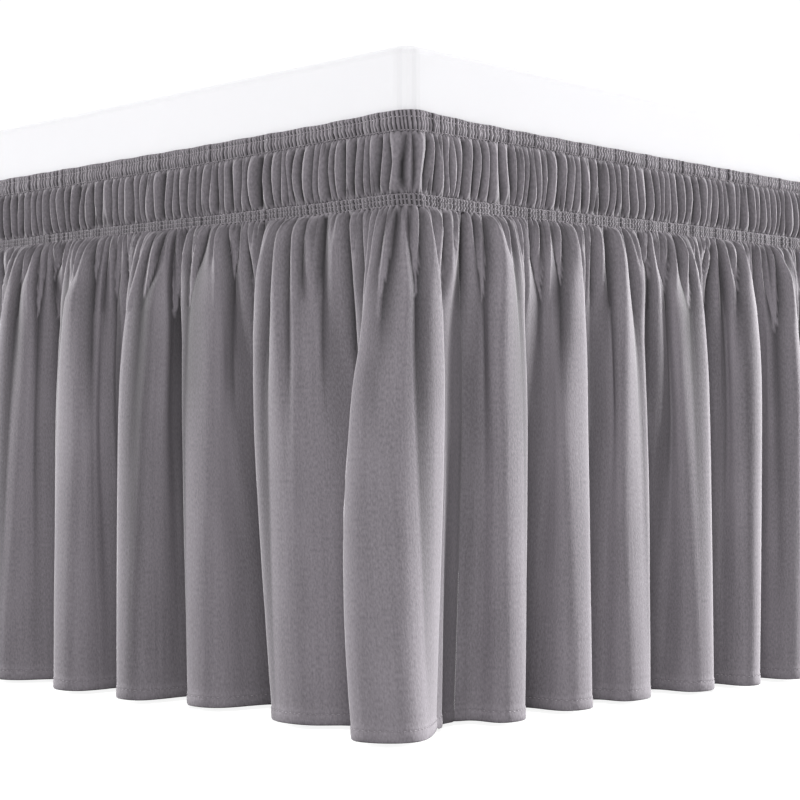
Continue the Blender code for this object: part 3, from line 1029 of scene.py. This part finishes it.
def stitches(name, rows):
    """One piece of thread from rows of stitches, each a double pyramid.

    Its points are its centre plus and minus half its length, depth and height, each along a
    direction of its own.
    """
    centres, ways, outs, sizes = (np.concatenate(part) for part in zip(*rows))
    ups = np.cross(outs, ways)
    ends = np.stack([ways, -ways, outs, -outs, ups, -ups], axis=1)
    reach = np.repeat(sizes / 2, 2, axis=1)[:, :, None]
    points = (centres[:, None, :] + ends * reach).reshape(-1, 3)
    faces = (STITCH_FACES + 6 * np.arange(len(centres))[:, None, None]).reshape(-1, 3)
    corner_uv = points[faces.ravel()][:, [0, 2]]
    return new_piece(name, points, [faces], corner_uv, THREAD, np.zeros(len(points)))


def directions(centres, ahead):
    """Unit directions from the stitches' centres to points ahead of them, and level outward."""
    way = ahead - centres
    way /= np.linalg.norm(way, axis=1)[:, None]
    outward = np.column_stack([way[:, 1], -way[:, 0], np.zeros(len(way))])
    outward /= np.linalg.norm(outward, axis=1)[:, None]
    return way, outward


# %% Stitching of the casing and the shirring
# A stitch's usual length, depth and height in millimetres, and how much these vary
RIB_STITCH = np.array([1.8, 0.9, 0.85])
RIB_STITCH_RANGE = (0.75, 1.25)
RIB_STITCH_PROUD = 0.4
RIB_STITCH_WANDER = 0.25


def rib_row(rows, index, chance):
    """A row of stitches in the creases between ribs, just proud of the given row of cloth."""
    along, height, out = (values[::RIB_COLUMNS] for values in rows[index][:3])
    height = height + chance.uniform(-RIB_STITCH_WANDER, RIB_STITCH_WANDER, len(along)) * MM
    out = out + RIB_STITCH_PROUD * MM
    centres = np.column_stack([*beside_base(along, out), height])
    ahead = np.column_stack([*beside_base(along + MM, out), height])
    sizes = MM * RIB_STITCH * chance.uniform(*RIB_STITCH_RANGE, (len(along), 3))
    return centres, *directions(centres, ahead), sizes


thread_chance = np.random.default_rng(41)
casing_stitches = [rib_row(casing_rows, index, thread_chance) for index in CASING_STITCH_ROWS]
shirring_stitches = [
    rib_row(shirring_rows, index, thread_chance) for index in SHIRRING_STITCH_ROWS
]
casing_thread = stitches("casing_stitching", casing_stitches)
shirring_thread = stitches("shirring_stitching", shirring_stitches)

# %% The hem's stitching
HEM_STITCH = np.array([2.3, 0.5, 0.55])
HEM_STITCH_RANGE = (0.85, 1.15)
HEM_STITCH_PITCH = 0.0036
HEM_STITCH_PROUD = 0.1
UNSTITCHED_END = 0.01
hem_stitches = []
for cloth, *hem_line in hem_lines.values():
    at = np.arange(UNSTITCHED_END, cloth[-1] - UNSTITCHED_END, HEM_STITCH_PITCH)
    centres = np.column_stack([np.interp(at, cloth, values) for values in hem_line])
    ahead = np.column_stack([np.interp(at + MM, cloth, values) for values in hem_line])
    way, outward = directions(centres, ahead)
    lengths = MM * HEM_STITCH * thread_chance.uniform(*HEM_STITCH_RANGE, (len(at), 3))
    hem_stitches.append((centres + HEM_STITCH_PROUD * MM * outward, way, outward, lengths))
hem_thread = stitches("hem_stitching", hem_stitches)

for piece in (casing_thread, shirring_thread, hem_thread):
    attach(piece, "root")

# %% [markdown]
# ## The base and its legs
#
# The box spring is covered in a plain white ticking, and the turned legs are dark timber. Both
# keep their CAD solids, and only their finish is made here, on object coordinates.

# %% Ticking and timber


Noise = namedtuple("Noise", "waves detail")
Surface = namedtuple("Surface", "tone contrast darker lighter grain rough rougher relief")
RELIEF_DEPTH = 0.0003


def plain_material(name, surface):
    """A finish on object coordinates: a noise mixes two colours, and a grain gives the relief.

    The tone is spread about its middle: a half plus the contrast times (noise less a half).
    """
    made = bpy.data.materials.new(name)
    made.use_nodes = True
    tree = made.node_tree
    shader = tree.nodes["Principled BSDF"]
    place = add_node(tree, "ShaderNodeTexCoord").outputs["Object"]
    tone = noise_at(tree, place, *surface.tone)
    grain = noise_at(tree, place, *surface.grain)
    least = 0.5 - surface.contrast / 2
    shade = calculated(tree, "MULTIPLY_ADD", tone, surface.contrast, least)
    colour = add_node(tree, "ShaderNodeMix", data_type="RGBA")
    colour.inputs[6].default_value = (*surface.darker, 1.0)
    colour.inputs[7].default_value = (*surface.lighter, 1.0)
    tree.links.new(shade, colour.inputs["Factor"])
    tree.links.new(colour.outputs[2], shader.inputs["Base Color"])
    rough = calculated(tree, "MULTIPLY_ADD", grain, surface.rougher, surface.rough)
    tree.links.new(rough, shader.inputs["Roughness"])
    bump = {"Strength": surface.relief, "Distance": RELIEF_DEPTH}
    relief = add_node(tree, "ShaderNodeBump", bump)
    tree.links.new(grain, relief.inputs["Height"])
    tree.links.new(relief.outputs["Normal"], shader.inputs["Normal"])
    return made


# A fine weave in nearly one tone; and long grain that runs down the leg, under a satin finish
WOVEN_WHITE = Surface(
    tone=Noise(waves=(9, 9, 9), detail=3.0), contrast=0.5,
    darker=(0.875, 0.87, 0.895), lighter=(0.915, 0.91, 0.935),
    grain=Noise(waves=(1400, 1400, 2600), detail=1.0), rough=0.8, rougher=0.1, relief=0.25,
)
DARK_STAINED = Surface(
    tone=Noise(waves=(260, 260, 14), detail=4.0), contrast=1.0,
    darker=(0.035, 0.022, 0.014), lighter=(0.13, 0.085, 0.055),
    grain=Noise(waves=(260, 260, 14), detail=4.0), rough=0.4, rougher=0.2, relief=0.3,
)
TICKING = plain_material("white ticking", WOVEN_WHITE)
TIMBER = plain_material("dark timber", DARK_STAINED)
for name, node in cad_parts.items():
    if name == "box_spring":
        node.material_slots[0].material = TICKING
    elif name.startswith("leg"):
        node.material_slots[0].material = TIMBER

# %% [markdown]
# ## Floor, light and camera
#
# A plain pale floor and large soft lights, stronger from the right, so that the folds on the
# left are darker. The white base needs much less light than the grey cloth, so it has soft
# lights of its own, and each set is kept off the other. The camera stands low in front of the
# corner and looks slightly up.

# %% Floor
FLOOR_GLOW = 0.9
bpy.ops.mesh.primitive_plane_add(size=60, location=(0, 0, 0))
floor = bpy.context.object
floor.name = "floor"
floor_finish = bpy.data.materials.new("white studio floor")
floor_finish.use_nodes = True
floor_shader = floor_finish.node_tree.nodes["Principled BSDF"]
floor_shader.inputs["Base Color"].default_value = (0.40, 0.40, 0.40, 1.0)
floor_shader.inputs["Roughness"].default_value = 0.9
floor_shader.inputs["Specular IOR Level"].default_value = 0.1
floor_shader.inputs["Emission Color"].default_value = (1, 1, 1, 1)
floor_glow = add_node(floor_finish.node_tree, "ShaderNodeLightPath").outputs["Is Camera Ray"]
floor_glow = calculated(floor_finish.node_tree, "MULTIPLY", floor_glow, FLOOR_GLOW)
floor_finish.node_tree.links.new(floor_glow, floor_shader.inputs["Emission Strength"])
floor.data.materials.append(floor_finish)

# %% Sky
# How bright the sky is where it is seen, and how much light it casts
SKY_SEEN = 1.05
SKY_CAST = 0.18
world = bpy.context.scene.world or bpy.data.worlds.new("studio")
bpy.context.scene.world = world
world.use_nodes = True
sky = world.node_tree
sky.nodes.clear()
seen = add_node(sky, "ShaderNodeBackground", {"Color": (1, 1, 1, 1), "Strength": SKY_SEEN})
cast = add_node(sky, "ShaderNodeBackground", {"Color": (1, 1, 1, 1), "Strength": SKY_CAST})
path = add_node(sky, "ShaderNodeLightPath")
either = add_node(sky, "ShaderNodeMixShader")
sky_out = add_node(sky, "ShaderNodeOutputWorld")
sky.links.new(path.outputs["Is Camera Ray"], either.inputs[0])
sky.links.new(cast.outputs[0], either.inputs[1])
sky.links.new(seen.outputs[0], either.inputs[2])
sky.links.new(either.outputs[0], sky_out.inputs["Surface"])

# %% Light
CORNER = (0.495, -0.9525, 0.2)
FAR_CORNER = (-0.495, 0.9525, 0.2)
BASE_MIDDLE = (0.0, 0.0, 0.4)


def soft_light(name, power, place, target, size=0.8):
    """A square area light of a power in watts at a place, turned to its target."""
    light = bpy.data.lights.new(name, "AREA")
    light.shape = "SQUARE"
    light.size = size
    light.energy = power
    made = bpy.data.objects.new(name, light)
    made.location = place
    made.rotation_mode = "QUATERNION"
    made.rotation_quaternion = (Vector(target) - Vector(place)).to_track_quat("-Z", "Y")
    bpy.context.scene.collection.objects.link(made)
    return made


cloth_lights = (
    soft_light("right softbox", 320, (1.6, 2.15, 0.7), CORNER),
    soft_light("left softbox", 175, (-2.6, -1.95, 0.7), CORNER),
    soft_light("front softbox", 69, (1.8, -2.4, 1.7), CORNER),
)
base_lights = (
    soft_light("foot fill on the base", 62, (-0.38, -3.82, 0.6), CORNER),
    soft_light("right fill on the base", 58, (3.36, -0.07, 0.6), CORNER),
    soft_light("head fill on the base", 62, (0.38, 3.82, 0.6), FAR_CORNER),
    soft_light("left fill on the base", 58, (-3.36, 0.07, 0.6), FAR_CORNER),
    soft_light("fill over the base", 80, (0.0, 0.0, 3.4), BASE_MIDDLE, size=2.0),
)
for lights, state in ((cloth_lights, "EXCLUDE"), (base_lights, "INCLUDE")):
    for light in lights:
        linked = bpy.data.collections.new(f"base for the {light.name}")
        linked.objects.link(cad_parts["box_spring"])
        linked.collection_objects[0].light_linking.link_state = state
        light.light_linking.receiver_collection = linked
print(f"{len(cloth_lights)} lights on the cloth and {len(base_lights)} on the base")

# %% Camera
AZIMUTH = np.radians(44.5)
LOOK = Vector((-np.sin(AZIMUTH), np.cos(AZIMUTH), 0))
RIGHT = Vector((np.cos(AZIMUTH), np.sin(AZIMUTH), 0))
# The camera's distance from the corner, its step to the left and its height, in metres
DISTANCE = 1.157
SIDE_STEP = 0.0043
EYE_HEIGHT = 0.175
# The picture's width, the focal length and the rise of the gaze, in picture dots
PICTURE_DOTS = 800
FOCAL_DOTS = 1880
RISE_DOTS = 50
SENSOR = 36
camera_data = bpy.data.cameras.new("camera")
camera_data.sensor_width = SENSOR
camera_data.lens = SENSOR * FOCAL_DOTS / PICTURE_DOTS
camera_data.clip_start = 0.01
camera = bpy.data.objects.new("camera", camera_data)
bpy.context.scene.collection.objects.link(camera)
stand_at = Vector((0.4965, -0.954, 0)) - DISTANCE * LOOK - SIDE_STEP * RIGHT
pitch = np.arctan(RISE_DOTS / FOCAL_DOTS)
gaze = LOOK * np.cos(pitch) + Vector((0, 0, np.sin(pitch)))
turned = Matrix((RIGHT, RIGHT.cross(gaze), -gaze)).transposed()
camera.matrix_world = Matrix.Translation((stand_at.x, stand_at.y, EYE_HEIGHT)) @ turned.to_4x4()
bpy.context.scene.camera = camera
bpy.context.scene.view_settings.view_transform = "Standard"
